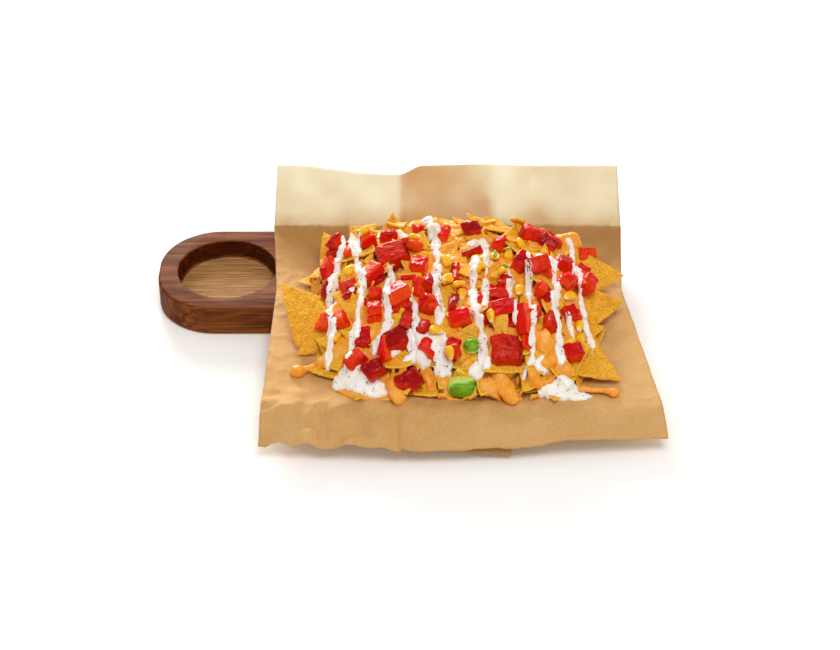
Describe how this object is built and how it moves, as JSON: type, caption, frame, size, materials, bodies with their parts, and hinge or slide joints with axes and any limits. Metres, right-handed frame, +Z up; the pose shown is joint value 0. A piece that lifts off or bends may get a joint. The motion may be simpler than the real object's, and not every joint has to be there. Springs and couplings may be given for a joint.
{
  "type": "loaded nachos on a serving board",
  "caption": "Heap of corn chips with melted cheese, diced tomato and sour cream on a paper liner over a wooden board with a dip-cup recess.",
  "frame": {"origin": "centre of the underside of the board's main plate", "axes": "+X along the board away from its tongue, +Y towards the liner's raised flap, +Z up"},
  "size_m": [0.358, 0.2773, 0.0731],
  "materials": {
    "walnut": "satin",
    "kraft_paper": "matte",
    "chips_and_cheese": "satin",
    "corn_chip": "matte",
    "tomato": "gloss",
    "green_pepper": "gloss"
  },
  "bodies": {
    "root": {"board": "walnut", "paper_liner": "kraft_paper", "nacho_heap": "chips_and_cheese", "chip_01": "corn_chip", "chip_02": "corn_chip", "chip_03": "corn_chip", "chip_04": "corn_chip", "chip_05": "corn_chip", "chip_06": "corn_chip", "chip_07": "corn_chip", "chip_08": "corn_chip", "chip_09": "corn_chip", "chip_10": "corn_chip", "chip_11": "corn_chip", "chip_12": "corn_chip", "tomato_01": "tomato", "tomato_02": "tomato", "tomato_03": "tomato", "tomato_04": "tomato", "tomato_05": "tomato", "tomato_06": "tomato", "tomato_07": "tomato", "tomato_08": "tomato", "tomato_09": "tomato", "tomato_10": "tomato", "tomato_11": "tomato", "tomato_12": "tomato", "tomato_13": "tomato", "tomato_14": "tomato", "tomato_15": "tomato", "tomato_16": "tomato", "tomato_17": "tomato", "tomato_18": "tomato", "tomato_19": "tomato", "tomato_20": "tomato", "tomato_21": "tomato", "tomato_22": "tomato", "tomato_23": "tomato", "tomato_24": "tomato", "tomato_25": "tomato", "tomato_26": "tomato", "tomato_27": "tomato", "tomato_28": "tomato", "tomato_29": "tomato", "tomato_30": "tomato", "tomato_31": "tomato", "tomato_32": "tomato", "tomato_33": "tomato", "tomato_34": "tomato", "tomato_35": "tomato", "tomato_36": "tomato", "tomato_37": "tomato", "tomato_38": "tomato", "tomato_39": "tomato", "tomato_40": "tomato", "tomato_41": "tomato", "tomato_42": "tomato", "tomato_43": "tomato", "pepper_1": "green_pepper", "pepper_2": "green_pepper"}
  },
  "joints": []
}
